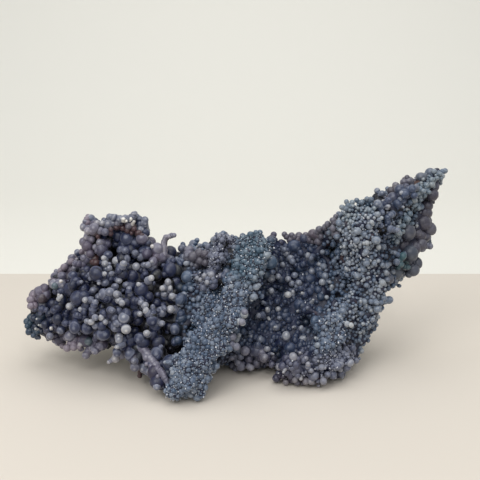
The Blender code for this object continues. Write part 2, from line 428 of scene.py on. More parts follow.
def scatterTree():
    form = scatterForm
    tree = bpy.data.node_groups.new("grapesOnCrust", "GeometryNodeTree")
    face = tree.interface
    face.new_socket(name="Crust", in_out="INPUT", socket_type="NodeSocketGeometry")
    numbers = ("Spacing", "Smallest", "Largest", "Least lift", "Most lift", "Lean", "Least tone", "Most tone",
               "Clumping", "Clump")
    kinds = {"Shapes": "Collection", "Stone": "Material", "Where": "String", "Seed": "Int"}
    kinds.update((name, "Float") for name in numbers)
    for name, kind in kinds.items():
        face.new_socket(name=name, in_out="INPUT", socket_type="NodeSocket" + kind)
    face.new_socket(name="Grapes", in_out="OUTPUT", socket_type="NodeSocketGeometry")
    given = addNode(tree, "NodeGroupInput").outputs
    # where: the crust's weight for this layer, less between the clumps
    square = addNode(tree, "ShaderNodeMath", {0: given["Spacing"], 1: given["Spacing"]}, operation="MULTIPLY")
    density = addNode(tree, "ShaderNodeMath", {0: form["density"], 1: square.outputs[0]}, operation="DIVIDE")
    where = addNode(tree, "GeometryNodeInputNamedAttribute", {"Name": given["Where"]}, data_type="FLOAT")
    clumpScale = addNode(tree, "ShaderNodeMath", {0: 1.0, 1: given["Clump"]}, operation="DIVIDE")
    clumpNoise = addNode(tree, "ShaderNodeTexNoise", {
        "W": given["Seed"], "Scale": clumpScale.outputs[0], "Detail": 1.0}, noise_dimensions="4D")
    clumps = addNode(tree, "ShaderNodeMapRange", {
        "Value": clumpNoise.outputs[0], "From Min": form["clumpEdge"][0], "From Max": form["clumpEdge"][1]})
    share = addNode(tree, "ShaderNodeMix", {0: given["Clumping"], 2: 1.0, 3: clumps.outputs[0]},
                    data_type="FLOAT")
    chance = addNode(tree, "ShaderNodeMath", {0: where.outputs["Attribute"], 1: share.outputs[0]},
                     operation="MULTIPLY")
    spots = addNode(tree, "GeometryNodeDistributePointsOnFaces", {
        "Mesh": given["Crust"], "Distance Min": given["Spacing"], "Density Max": density.outputs[0],
        "Density Factor": chance.outputs[0], "Seed": given["Seed"]}, distribute_method="POISSON")
    # what is drawn at each point, with a seed of its own: its kind, its least and its most
    leanBack = addNode(tree, "ShaderNodeMath", {0: given["Lean"], 1: -1.0}, operation="MULTIPLY")
    leanLow = addNode(tree, "ShaderNodeCombineXYZ", {0: leanBack.outputs[0], 1: leanBack.outputs[0], 2: 0.0})
    leanHigh = addNode(tree, "ShaderNodeCombineXYZ", {0: given["Lean"], 1: given["Lean"], 2: 2 * math.pi})
    draws = {
        "tone": ("FLOAT", given["Least tone"], given["Most tone"]),
        "lift": ("FLOAT", given["Least lift"], given["Most lift"]),
        "spin": ("FLOAT_VECTOR", leanLow.outputs[0], leanHigh.outputs[0]),
        "size": ("FLOAT", 0.0, 1.0),
        "shape": ("INT", 0, form["lastPick"]),
        "stretch": ("FLOAT_VECTOR", *form["stretch"]),
    }
    firstSocket = {"FLOAT_VECTOR": 0, "FLOAT": 2, "INT": 4}
    drawn = {}
    for step, (name, (kind, least, most)) in enumerate(draws.items()):
        first = firstSocket[kind]
        seed = addNode(tree, "ShaderNodeMath", {0: given["Seed"], 1: step}, operation="ADD")
        value = addNode(tree, "FunctionNodeRandomValue", {
            first: least, first + 1: most, "Seed": seed.outputs[0]}, data_type=kind)
        drawn[name] = value.outputs[first // 2]
    # tone, place, turn and size of each grape
    toned = addNode(tree, "GeometryNodeStoreNamedAttribute", {
        "Geometry": spots.outputs["Points"], "Name": "tone", "Value": drawn["tone"]},
        data_type="FLOAT", domain="POINT")
    rise = addNode(tree, "ShaderNodeVectorMath", {0: spots.outputs["Normal"], "Scale": drawn["lift"]},
                   operation="SCALE")
    lifted = addNode(tree, "GeometryNodeSetPosition", {
        "Geometry": toned.outputs["Geometry"], "Offset": rise.outputs[0]})
    turned = addNode(tree, "FunctionNodeEulerToRotation", {0: drawn["spin"]})
    stand = addNode(tree, "FunctionNodeRotateRotation", {
        0: spots.outputs["Rotation"], 1: turned.outputs[0]}, rotation_space="LOCAL")
    mostlySmall = addNode(tree, "ShaderNodeMath", {0: drawn["size"], 1: form["mostlySmall"]},
                          operation="POWER")
    size = addNode(tree, "ShaderNodeMix", {
        0: mostlySmall.outputs[0], 2: given["Smallest"], 3: given["Largest"]}, data_type="FLOAT")
    sized = addNode(tree, "ShaderNodeVectorMath", {0: drawn["stretch"], "Scale": size.outputs[0]},
                    operation="SCALE")
    # one of the shapes at each point, as plain geometry
    choice = addNode(tree, "GeometryNodeCollectionInfo", {
        "Collection": given["Shapes"], "Separate Children": True, "Reset Children": True})
    grown = addNode(tree, "GeometryNodeInstanceOnPoints", {
        "Points": lifted.outputs["Geometry"], "Instance": choice.outputs[0], "Pick Instance": True,
        "Instance Index": drawn["shape"], "Rotation": stand.outputs[0], "Scale": sized.outputs[0]})
    real = addNode(tree, "GeometryNodeRealizeInstances", {"Geometry": grown.outputs["Instances"]})
    smooth = addNode(tree, "GeometryNodeSetShadeSmooth", {"Geometry": real.outputs["Geometry"]})
    stone = addNode(tree, "GeometryNodeSetMaterial", {
        "Geometry": smooth.outputs["Geometry"], "Material": given["Stone"]})
    addNode(tree, "NodeGroupOutput", {"Grapes": stone.outputs["Geometry"]})
    return tree


def keepOffFloor(mesh):
    # the lowest grapes are flat where they rest
    points = readPoints(mesh)
    points[:, 2] = np.maximum(points[:, 2], 0)
    mesh.vertices.foreach_set("co", points.ravel())


def scatter(name, crustObject, tree, layer, shapes, stone):
    made = newObject(name, crustObject.data)
    grow = made.modifiers.new("grow", "NODES")
    grow.node_group = tree
    clumping, clump = layer.get("clumps", (0.0, 1))
    values = {"Shapes": shapes, "Stone": stone, "Where": layer["where"], "Seed": layer["seed"],
              "Lean": layer["lean"], "Clumping": clumping,
              "Least tone": layer["tone"][0], "Most tone": layer["tone"][1]}
    lengths = {"Spacing": layer["spacing"], "Clump": clump,
               "Smallest": layer["radius"][0], "Largest": layer["radius"][1],
               "Least lift": layer["lift"][0], "Most lift": layer["lift"][1]}
    values.update((key, length * mm) for key, length in lengths.items())
    for socket in tree.interface.items_tree:
        if socket.in_out == "INPUT" and socket.name in values:
            grow[socket.identifier] = values[socket.name]
    mesh = meshOf(made)
    made.modifiers.clear()
    made.data = mesh
    keepOffFloor(mesh)
    mesh.calc_loop_triangles()
    print(name + ":", len(mesh.loop_triangles), "triangles")
    return made


def sampleCrust(crustMesh, points):
    # the crust's attributes at its corner nearest to each point
    corners = readPoints(crustMesh)
    tree = KDTree(len(corners))
    for index, corner in enumerate(corners):
        tree.insert(corner, index)
    tree.balance()
    picked = [tree.find(point)[1] for point in points]
    found = {}
    for attribute in crustMesh.attributes:
        if attribute.data_type == "FLOAT" and attribute.domain == "POINT":
            values = np.empty(len(corners), dtype=np.float32)
            attribute.data.foreach_get("value", values)
            found[attribute.name] = values[picked]
    return found


standing = {
    # where the place nearest to the solid is sought on a line of sight that passes it, a step each mm
    "nearest": 0.5,
    "steps": 160,
    "farthestOut": 4 * mm,
    "tipTurn": 0.7,  # how much the tips turn to the camera
    "smoothFrom": 2.7 * mm,  # grapes of more than this radius have the rounder ball
    "seed": 3,
    "toneSpread": 0.1,
    "stretch": (0.88, 1.12),
    "sunkShare": 0.2,  # of its radius, how far a grape that meets the crust is in it
    "neck": {"step": 0.9, "width": 0.85, "spread": 0.2, "tone": -0.4},
    # the least openness of these grapes, so they take less painted shade; then the share of navy, gap and
    # umber, where gap is painted shade and navy partly
    "leastOpen": 0.4,
    "tintAndShadeShare": 0.4,
}


def sightLine(pixel):
    # the camera's place and the way from it through a place on the picture
    pitch = math.radians(photoCamera["pitchDown"])
    across = (pixel[0] - photoCamera["pixels"] / 2) / photoCamera["focalPixels"]
    rise = (photoCamera["pixels"] / 2 - pixel[1]) / photoCamera["focalPixels"]
    way = Vector((across, math.cos(pitch) + rise * math.sin(pitch), rise * math.cos(pitch) - math.sin(pitch)))
    return Vector(photoCamera["place"]), way.normalized()


def seenPlace(solid, skin, pixel, radius, depth):
    # a ball's middle and the way its tip points: it shows at the pixel, a depth behind the solid's surface,
    # or close beside the solid where the line of sight passes it
    eye, way = sightLine(pixel)
    front = solid.ray_cast(eye, way)
    if front[0] is None:
        marks = [eye + way * (standing["nearest"] + step * mm) for step in range(standing["steps"])]
        passing = min(marks, key=lambda mark: solid.find_nearest(mark)[3])
        beside = solid.find_nearest(passing)
        out = min(beside[3], standing["farthestOut"])
        return beside[0] + (passing - beside[0]).normalized() * out, beside[1]
    distance = front[3] + depth + radius
    behind = skin.ray_cast(eye, way)
    if behind[0] is not None:
        distance = min(distance, behind[3] + standing["sunkShare"] * radius)
    return eye + way * distance, (front[1] - standing["tipTurn"] * way).normalized()


def necked(middle, foot, radius):
    # a ball, and ever wider balls from it down to the crust where it stands off it
    form = standing["neck"]
    gap = (foot - middle).length
    count = int(gap / (form["step"] * radius))
    shares = [(k + 1) / count for k in range(count)]
    neck = [(middle.lerp(foot, s), form["width"] * radius + form["spread"] * gap * s) for s in shares]
    return [(middle, radius)] + neck


def strung(places, step):
    # places at even steps on a line through the given ones, for grapes grown together into a finger
    line = np.array(places, dtype=float)
    found = []
    for start, end in zip(line, line[1:]):
        count = max(1, round(np.hypot(*(end - start)[:2]) / step))
        found += [tuple(start + (end - start) * k / count) for k in range(count)]
    return found + [tuple(line[-1])]


def placeGrapes(name, crustObject, clusters, shapes, stone):
    skin = solidTree(crustObject)
    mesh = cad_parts[partNode].data
    solid = BVHTree.FromPolygons([v.co for v in mesh.vertices], [tuple(f.vertices) for f in mesh.polygons])
    corners, faces, tips = {}, {}, {}
    for key, shape in shapes.items():
        corners[key] = readPoints(shape.data)
        faces[key] = [tuple(face.vertices) for face in shape.data.polygons]
        tips[key] = np.empty(len(corners[key]))
        shape.data.attributes["tip"].data.foreach_get("value", tips[key])
    allPoints, allFaces, allTips, spots, tones, tints, counts = [], [], [], [], [], [], []
    draw = np.random.default_rng(standing["seed"])
    spread = standing["toneSpread"]
    for cluster in clusters.values():
        places = strung(cluster["at"], cluster["step"]) if "step" in cluster else cluster["at"]
        for x, y, size in places:
            middle, way = seenPlace(solid, skin, (x, y), size * mm, cluster["depth"] * mm)
            turn = np.array(way.to_track_quat("Z", "Y").to_matrix()).T
            tone = cluster["tone"] + draw.uniform(-spread, spread)
            stretch = draw.uniform(*standing["stretch"], 3)
            for spot, radius in necked(middle, skin.find_nearest(middle)[0], size * mm):
                key = "smooth" if radius > standing["smoothFrom"] else "single"
                first = sum(counts)
                allPoints.append(np.array(spot) + radius * stretch * corners[key] @ turn)
                allFaces += [tuple(first + corner for corner in face) for face in faces[key]]
                allTips.append(tips[key])
                counts.append(len(corners[key]))
                spots.append(spot)
                tones.append(tone if spot == middle else tone + standing["neck"]["tone"])
                tints.append(cluster.get("tints", {}))
    mesh = bpy.data.meshes.new(name)
    mesh.from_pydata(np.concatenate(allPoints), [], allFaces)
    mesh.shade_smooth()
    for key, values in sampleCrust(crustObject.data, spots).items():
        if key == "openness":
            values = standing["leastOpen"] + (1 - standing["leastOpen"]) * values
        if key in ("navy", "gap", "umber"):
            values = standing["tintAndShadeShare"] * values
        values = [own.get(key, value) for own, value in zip(tints, values)]
        writeAttribute(mesh, key, np.repeat(values, counts))
    writeAttribute(mesh, "tone", np.repeat(tones, counts))
    writeAttribute(mesh, "tip", np.concatenate(allTips))
    mesh.materials.append(stone)
    keepOffFloor(mesh)
    print(name + ":", len(mesh.polygons), "triangles")
    return newObject(name, mesh)


# layers scattered over the crust: spacing, radius and lift off the crust in mm, lean in radians, tone from
# 0 dark to 1 pale; clumps: from 0 even to 1 only in clumps, and the size of the clumps in mm
# the deeper layers are toned darker, partly the stone's own colour and partly painted shade
layers = {
    # the large grapes deep between the others, toned dark, partly painted shade
    "headUnderGrapes": {"shape": "single", "where": "head", "spacing": 6.6, "radius": (3.4, 5.4),
        "lift": (-3.8, -2.2), "lean": 0.3, "tone": (-0.8, -0.25), "seed": 5},
    # grapes half way out on the head
    "headMiddleGrapes": {"shape": "single", "where": "headMiddle", "spacing": 5.0, "radius": (2.2, 3.8),
        "lift": (-0.8, 0.8), "lean": 0.4, "tone": (-0.5, 0.15), "clumps": (0.7, 13), "seed": 8},
    # grapes and small stacks on the head's nodules
    "headGrapes": {"shape": "stack", "where": "headTops", "spacing": 5.3, "radius": (1.9, 3.4),
        "lift": (0.4, 2.0), "lean": 0.5, "tone": (0.0, 0.8), "clumps": (0.6, 11), "seed": 11},
    # the outermost, smallest and palest grapes of the head
    "headSmallGrapes": {"shape": "single", "where": "headTops", "spacing": 3.9, "radius": (1.3, 2.2),
        "lift": (1.0, 2.6), "lean": 0.5, "tone": (0.3, 0.95), "clumps": (1.0, 9), "seed": 21},
    # single grapes that stand out of the fine cover
    "looseGrapes": {"shape": "single", "where": "loose", "spacing": 5.0, "radius": (1.7, 2.8),
        "lift": (0.2, 1.4), "lean": 0.4, "tone": (0.4, 1.15), "clumps": (0.8, 12), "seed": 31},
    # the fine cover of the right half
    "coverGrapes": {"shape": "seed", "where": "fine", "spacing": 2.8, "radius": (1.2, 2.1),
        "lift": (-0.8, 0.2), "lean": 0.3, "tone": (0.0, 1.0), "seed": 41},
    # grapes deep in the bottom of the field, toned dark: the field's navy and partly painted shade
    "deepLumps": {"shape": "single", "where": "deep", "spacing": 4.0, "radius": (1.8, 3.4),
        "lift": (-2.4, -1.2), "lean": 0.3, "tone": (-0.45, 0.05), "seed": 43},
    # fine grapes heaped on the hump, the column and the wing's rib
    "crowdedGrapes": {"shape": "seed", "where": "crowded", "spacing": 2.3, "radius": (1.0, 1.6),
        "lift": (0.4, 1.8), "lean": 0.4, "tone": (0.4, 1.25), "clumps": (0.6, 7), "seed": 46},
    # the grains of the ridge and the mound
    "druseBeads": {"shape": "bead", "where": "druse", "spacing": 1.3, "radius": (0.5, 0.9),
        "lift": (-0.1, 0.5), "lean": 0.4, "tone": (0.15, 1.15), "seed": 51},
    # grapes that show between those grains
    "druseGrapes": {"shape": "seed", "where": "druse", "spacing": 4.2, "radius": (1.5, 2.8),
        "lift": (-1.1, 0.2), "lean": 0.4, "tone": (0.1, 0.9), "clumps": (0.3, 10), "seed": 56},
    # the back, which the photo doesn't show
    "backGrapes": {"shape": "single", "where": "back", "spacing": 4.6, "radius": (2.0, 3.8),
        "lift": (-1.2, 0.2), "lean": 0.3, "tone": (0.0, 0.7), "clumps": (0.5, 22), "seed": 61},
    # the smooth umber lumps at the wing's right edge
    "wingLumps": {"shape": "single", "where": "lumps", "spacing": 6.5, "radius": (4.4, 6.4),
        "lift": (-4.6, -3.2), "lean": 0.3, "tone": (0.0, 0.2), "seed": 66},
    # tiny crystals that glint
    "quartzPoints": {"shape": "point", "where": "sparkle", "spacing": 3.2, "radius": (0.45, 1.05),
        "lift": (0.8, 1.6), "lean": 0.8, "tone": (0.0, 1.0), "clumps": (0.4, 8), "seed": 71},
}

pictureGrapes = {
    # grapes that stand out: depth in mm of their fronts behind the solid's surface, tone, and any tints of
    # their own; then for each its place on the 480 pixel picture and its radius in mm; a step in pixels
    # strings them into one finger
    # the deeper groups are toned darker, partly the stone's own colour and partly painted shade
    "headWhite": {"depth": -0.8, "tone": 1.15, "at": [
        (97, 224, 2.1), (102, 224, 2.1), (76, 260, 1.4), (75, 269, 2.1), (81, 282, 1.3), (99, 283, 1.2),
        (110, 240, 1.4), (152, 247, 1.3), (152, 262, 1.1), (177, 259, 1.4), (70, 306, 2.4),
        (151, 278, 2.0), (163, 288, 2.0), (170, 288, 1.7), (139, 284, 1.7), (141, 303, 2.1),
        (147, 311, 2.3), (171, 309, 2.7), (117, 347, 1.6), (166, 362, 1.3), (172, 369, 1.6), (80, 344, 1.8)]},
    "headPale": {"depth": -0.4, "tone": 0.95, "at": [
        (96, 247, 2.2), (100, 243, 2.3), (88, 252, 2.6), (88, 256, 2.4), (116, 244, 3.2), (121, 250, 3.0),
        (125, 251, 2.5), (134, 254, 2.4), (141, 257, 3.0), (116, 261, 3.1), (123, 265, 2.5),
        (136, 267, 3.1), (144, 266, 2.4), (149, 265, 2.4), (104, 258, 2.0), (105, 263, 2.4),
        (110, 269, 2.1), (104, 274, 1.6), (94, 290, 2.3), (119, 281, 2.3), (115, 287, 2.4),
        (116, 294, 2.4), (129, 289, 1.9), (168, 282, 2.4), (164, 295, 2.2), (173, 297, 2.3),
        (119, 301, 2.3), (123, 302, 2.3), (140, 314, 2.0), (145, 306, 2.6), (161, 323, 2.4),
        (147, 333, 2.2), (119, 337, 3.0), (119, 340, 2.8), (101, 317, 2.4), (106, 322, 1.9),
        (87, 321, 2.1), (92, 323, 2.3), (81, 308, 1.9), (85, 300, 1.9), (95, 304, 2.3), (99, 297, 2.8),
        (115, 328, 3.1), (126, 329, 3.6), (141, 346, 3.1), (116, 358, 3.0), (110, 361, 1.5),
        (134, 361, 1.8), (157, 386, 2.5)]},
    "headMiddling": {"depth": 0.5, "tone": 0.7, "at": [
        (94, 228, 3.1), (88, 237, 3.1), (92, 239, 2.5), (100, 231, 2.8), (105, 232, 3.0), (101, 247, 2.4),
        (84, 259, 2.5), (78, 253, 2.8), (72, 258, 2.8), (107, 244, 2.9), (126, 259, 3.4), (105, 283, 2.8),
        (126, 285, 2.5), (104, 294, 3.8), (110, 292, 3.2), (90, 300, 2.5), (118, 312, 3.4),
        (116, 318, 2.6), (124, 318, 3.7), (117, 323, 2.8), (112, 310, 2.2), (161, 312, 3.5),
        (153, 308, 1.8), (175, 281, 4.4), (175, 329, 3.8), (175, 342, 2.8), (95, 317, 2.4), (61, 330, 3.2),
        (70, 336, 3.8), (50, 336, 2.8), (58, 341, 3.2), (62, 284, 2.9), (54, 284, 3.4), (86, 355, 2.8),
        (95, 351, 2.8), (144, 368, 3.4), (135, 367, 3.4), (149, 371, 3.4), (170, 259, 3.2), (163, 259, 3.2)]},
    "headSlate": {"depth": 2.0, "tone": 0.2, "at": [
        (67, 268, 3.6), (77, 263, 2.6), (73, 276, 3.6), (87, 270, 3.0), (88, 277, 3.5), (96, 272, 4.2),
        (108, 255, 3.1), (119, 270, 2.4), (62, 276, 2.9), (84, 288, 1.6), (87, 328, 4.2), (78, 316, 3.2),
        (75, 327, 4.4), (72, 336, 4.2), (67, 337, 3.0), (103, 334, 5.0), (130, 340, 4.9), (117, 352, 3.4),
        (131, 355, 4.2), (134, 305, 3.5), (152, 320, 4.2), (155, 326, 4.2), (140, 338, 4.2),
        (160, 346, 3.1), (157, 353, 4.2), (148, 250, 3.6), (150, 242, 4.0), (157, 249, 3.0),
        (40, 292, 4.0), (46, 294, 4.0), (82, 348, 2.4), (35, 308, 2.8), (44, 307, 2.8), (55, 310, 3.2)]},
    "headDark": {"depth": 5.0, "tone": -0.3, "at": [
        (138, 290, 6.3), (110, 278, 4.4), (138, 320, 4.2), (170, 270, 5.6), (157, 257, 3.6),
        (72, 290, 5.0), (78, 298, 5.0), (66, 314, 3.4), (30, 320, 3.2), (34, 326, 3.2), (40, 330, 3.0),
        (30, 331, 3.0)]},
    # dark navy grapes filling the head's dark hollow, partly painted shade
    "headNavy": {"depth": 2.0, "tone": -0.7, "tints": {"navy": 1.6}, "at": [
        (73, 285, 3.6), (68, 292, 3.4), (62, 300, 3.8), (59, 309, 3.4), (58, 319, 3.8), (52, 321, 3.4),
        (46, 325, 3.6), (40, 320, 4.0), (36, 327, 3.4), (34, 318, 3.0), (50, 314, 3.0), (42, 331, 2.6)]},
    "headTinyWhite": {"depth": -0.6, "tone": 2.2, "at": [
        (37, 319, 0.9), (43, 325, 1.1), (36, 329, 0.9), (39, 325, 0.7), (51, 328, 1.0), (61, 281, 1.2),
        (61, 297, 1.4), (59, 295, 1.0), (90, 343, 1.1), (152, 247, 1.5)]},
    "headGreen": {"depth": -0.3, "tone": 0.2, "tints": {"teal": 1.6}, "at": [
        (89, 341, 3.4), (55, 286, 2.8)]},
    "hoodDome": {"depth": 1.2, "tone": 0.3, "tints": {"navy": 0.5}, "at": [
        (118, 237, 4.2), (127, 239, 4.8), (135, 243, 4.8), (124, 245, 4.2), (131, 250, 4.2)]},
    "hoodSlope": {"depth": 0.4, "tone": 0.45, "tints": {"pink": 0.8}, "at": [
        (142, 239, 4.0), (150, 243, 4.6), (157, 249, 4.4), (147, 254, 4.2), (160, 257, 4.6),
        (168, 259, 3.8), (153, 262, 3.4)]},
    "hoodRim": {"depth": 0.0, "tone": 0.85, "at": [
        (91, 218, 2.8), (86, 222, 2.8), (84, 227, 3.1), (88, 231, 2.8), (108, 225, 3.5), (113, 224, 2.6),
        (118, 223, 2.4), (129, 226, 2.4), (140, 230, 3.1)]},
    "hoodPlate": {"depth": 0.0, "tone": 0.8, "step": 2.0, "at": [
        (109, 218, 2.4), (120, 219, 2.8), (131, 219, 3.0), (136, 214, 1.6)]},
    # white balls where the hood's glassy plate glints: painted highlights
    "hoodSparks": {"depth": -0.8, "tone": 2.6, "at": [
        (110, 218, 1.0), (123, 219, 1.4), (126, 221, 1.1), (131, 219, 1.3), (134, 222, 1.2)]},
    "hoodRust": {"depth": 0.3, "tone": -0.1, "tints": {"rust": 1.9}, "at": [
        (110, 230, 1.8), (116, 228, 2.2), (123, 228, 1.9), (128, 230, 2.3), (134, 229, 2.0),
        (138, 233, 2.5), (142, 236, 2.0), (132, 233, 1.6)]},
    "headRust": {"depth": 0.4, "tone": 0.0, "tints": {"rust": 2.0}, "at": [
        (95, 259, 3.8), (97, 264, 2.6), (92, 263, 2.4), (98, 236, 1.6), (99, 239, 1.4), (140, 374, 2.0)]},
    "hoodHorn": {"depth": 0.0, "tone": 0.6, "step": 1.8, "at": [
        (144, 221, 2.7), (144, 228, 3.7), (146, 233, 2.4)]},
    "blade": {"depth": -1.0, "tone": 0.6, "step": 1.6, "tints": {"pink": 0.8}, "at": [
        (143, 349, 3.3), (149, 357, 3.3), (154, 363, 3.0), (158, 369, 2.7), (162, 375, 2.5),
        (166, 381, 1.9), (168, 384, 1.4)]},
    "bladeTeeth": {"depth": -0.4, "tone": 0.75, "tints": {"pink": 0.8}, "at": [
        (146, 358, 2.3), (151, 366, 1.8), (153, 371, 2.1), (158, 377, 1.5), (147, 364, 1.6)]},
    "stalk": {"depth": 0.0, "tone": 0.75, "step": 1.3, "at": [
        (164, 254, 2.5), (164, 243, 1.9), (166, 237, 1.8), (174, 235, 1.8)]},
    "saddle": {"depth": 0.6, "tone": 0.5, "at": [
        (165, 296, 4.4), (163, 309, 2.4), (189, 287, 3.8), (188, 277, 5.2), (182, 249, 2.6),
        (189, 250, 3.2), (193, 244, 3.2), (196, 242, 2.2), (206, 245, 2.4), (208, 248, 2.4)]},
    "saddleDark": {"depth": 1.6, "tone": 0.0, "tints": {"umber": 1.0}, "at": [
        (193, 257, 4.0), (187, 259, 3.0), (199, 253, 3.0), (200, 261, 3.4), (205, 254, 2.8),
        (206, 262, 2.6), (196, 266, 3.0)]},
    "saddlePale": {"depth": -0.5, "tone": 1.0, "at": [
        (186, 263, 2.1), (200, 246, 1.6), (170, 259, 3.3), (177, 260, 1.3)]},
    "moundFoot": {"depth": -0.6, "tone": 1.2, "at": [
        (197, 278, 1.8), (201, 280, 1.5), (207, 282, 1.8), (205, 276, 1.6), (211, 275, 2.1),
        (220, 277, 2.1), (226, 272, 2.1)]},
    "moundSlate": {"depth": 0.4, "tone": 0.6, "at": [
        (213, 285, 3.0), (204, 287, 2.4)]},
    "fieldWhite": {"depth": -1.2, "tone": 1.6, "at": [
        (252, 299, 1.5), (267, 309, 1.2), (278, 309, 1.7), (293, 293, 1.7), (288, 295, 2.4),
        (302, 293, 0.9), (313, 300, 0.9), (298, 311, 0.9), (269, 319, 0.9), (275, 327, 0.8),
        (293, 327, 0.8), (300, 353, 1.1), (273, 354, 0.9), (284, 372, 0.9), (332, 287, 1.7),
        (329, 282, 1.4), (320, 264, 2.3), (239, 336, 1.6), (241, 323, 2.2), (244, 314, 3.0),
        (316, 338, 1.1), (301, 378, 1.5), (326, 298, 1.8), (350, 325, 2.0)]},
    "fieldPale": {"depth": -0.8, "tone": 1.0, "at": [
        (267, 256, 2.6), (286, 253, 3.0), (284, 250, 2.0), (290, 259, 2.4), (292, 262, 2.2),
        (282, 265, 2.0), (260, 273, 2.1), (254, 278, 2.0), (258, 286, 1.9), (271, 291, 2.0),
        (263, 303, 1.7), (271, 278, 2.9), (278, 276, 2.2), (295, 276, 2.2), (299, 283, 2.2),
        (297, 286, 2.0), (291, 283, 2.4), (288, 279, 2.2), (309, 255, 2.4), (312, 258, 2.0),
        (322, 252, 2.0), (312, 272, 2.3), (321, 270, 2.2), (325, 276, 2.4), (322, 283, 2.3),
        (279, 318, 1.8), (302, 328, 1.9), (342, 286, 2.0), (293, 357, 2.9), (286, 336, 3.2),
        (303, 339, 2.9), (267, 350, 2.2), (265, 357, 2.7), (251, 367, 2.2), (322, 381, 2.6),
        (311, 381, 3.0), (306, 380, 2.6), (286, 381, 2.4), (280, 367, 2.5), (295, 379, 2.0),
        (251, 337, 2.2), (260, 340, 2.6), (259, 315, 2.0), (317, 346, 2.2), (306, 359, 1.8),
        (308, 365, 1.8)]},
    "fieldDark": {"depth": 2.6, "tone": -0.05, "at": [
        (310, 280, 5.0), (294, 246, 5.0), (270, 262, 5.0), (282, 244, 3.5), (300, 268, 4.0),
        (262, 325, 3.5), (272, 325, 3.5), (290, 348, 4.2), (315, 321, 3.5), (257, 350, 4.5),
        (296, 369, 4.0), (323, 262, 4.0), (312, 262, 3.8), (300, 305, 5.0), (285, 315, 4.5),
        (337, 366, 3.5), (347, 367, 3.0), (346, 352, 3.4), (333, 375, 2.8), (341, 373, 2.5),
        (352, 347, 2.6)]},
    "fieldFoot": {"depth": 0.0, "tone": 0.8, "tints": {"pink": 1.0}, "at": [
        (240, 322, 2.6), (244, 312, 2.6), (232, 337, 3.0), (235, 346, 2.6), (232, 357, 2.2),
        (239, 360, 2.2), (245, 351, 3.0), (249, 366, 2.4), (234, 368, 2.2), (241, 366, 3.2),
        (262, 353, 3.0), (264, 358, 3.0), (255, 362, 2.6)]},
    "fieldRim": {"depth": 0.0, "tone": 0.25, "tints": {"umber": 0.8, "pink": 1.0, "navy": 0.0}, "at": [
        (286, 235, 2.0), (292, 236, 2.4), (299, 236, 2.8), (306, 236, 2.4), (313, 234, 3.8),
        (318, 232, 2.8), (321, 229, 2.6), (325, 227, 2.4), (329, 225, 2.4), (333, 221, 2.2),
        (336, 217, 2.0), (336, 234, 3.0), (333, 228, 2.6), (328, 232, 2.4), (322, 236, 2.2),
        (310, 240, 2.4), (314, 240, 2.6), (318, 241, 2.6), (313, 243, 2.4)]},
    "wingPurple": {"depth": 0.5, "tone": -0.35, "at": [
        (404, 193, 3.8), (400, 190, 4.4), (393, 198, 4.1), (397, 204, 3.8), (412, 189, 3.0),
        (413, 195, 2.6), (409, 202, 2.2), (388, 201, 3.0)]},
    "wingTop": {"depth": 0.0, "tone": 0.8, "at": [
        (396, 186, 3.0), (408, 181, 3.3), (404, 182, 2.8), (414, 201, 2.0), (391, 215, 2.4),
        (387, 218, 2.1), (397, 261, 2.7), (388, 206, 1.4), (382, 194, 2.2), (387, 190, 2.0)]},
    "wingUmber": {"depth": 1.6, "tone": -0.2, "tints": {"umber": 1.0}, "at": [
        (391, 191, 3.2), (395, 189, 3.0), (427, 206, 4.2), (424, 213, 4.0), (423, 223, 5.6),
        (430, 229, 4.2), (420, 236, 4.4), (417, 263, 4.2), (413, 270, 4.4), (396, 273, 4.6),
        (389, 279, 3.4)]},
    "wingKnob": {"depth": 0.0, "tone": 0.5, "tints": {"umber": 0.5}, "at": [
        (413, 247, 3.6), (422, 248, 3.2), (428, 246, 2.4), (431, 244, 1.6)]},
    "wingHeel": {"depth": 0.4, "tone": 0.2, "tints": {"teal": 1.8}, "at": [
        (403, 256, 2.8), (406, 261, 2.8), (400, 264, 2.4), (407, 267, 1.9), (398, 268, 1.9)]},
    "headEdge": {"depth": 0.0, "tone": 0.75, "tints": {"pink": 1.9}, "at": [
        (83, 252, 2.4), (77, 257, 2.6), (71, 262, 2.6), (65, 267, 2.6), (60, 271, 2.4), (38, 291, 3.0),
        (34, 295, 3.0), (31, 300, 3.2), (31, 306, 2.8), (63, 345, 2.6), (68, 347, 2.6), (74, 347, 2.4),
        (79, 346, 2.2), (87, 221, 2.4), (90, 218, 2.2)]},
    "headTip": {"depth": 0.0, "tone": 0.0, "tints": {"teal": 0.8}, "at": [
        (28, 321, 2.6), (29, 326, 2.2), (30, 331, 2.2), (34, 335, 1.9)]},
    "wingSparks": {"depth": -0.5, "tone": 1.2, "at": [
        (403, 207, 1.0), (425, 222, 1.0), (417, 226, 1.1), (398, 227, 1.4), (395, 253, 1.5)]},
    "wingRib": {"depth": -0.4, "tone": 0.75, "at": [
        (444, 171, 2.0), (440, 174, 1.8), (441, 178, 1.5), (436, 179, 1.7), (432, 180, 2.1),
        (433, 186, 1.5), (427, 186, 1.9), (429, 192, 1.5), (422, 190, 2.0), (425, 195, 1.7),
        (417, 193, 2.0), (420, 200, 1.5), (414, 205, 1.8), (419, 208, 1.5), (411, 211, 1.6),
        (415, 216, 1.8), (408, 219, 2.0), (412, 224, 1.4), (403, 226, 1.7), (407, 231, 2.1),
        (400, 234, 1.6), (396, 230, 2.0), (412, 233, 1.8)]},
    "wingBrow": {"depth": 0.4, "tone": 0.35, "tints": {"umber": 0.5}, "at": [
        (421, 177, 3.6), (430, 173, 3.6), (410, 181, 2.8), (407, 178, 2.2), (415, 188, 2.6),
        (414, 195, 2.2)]},
    "humpPale": {"depth": 0.3, "tone": 0.7, "at": [
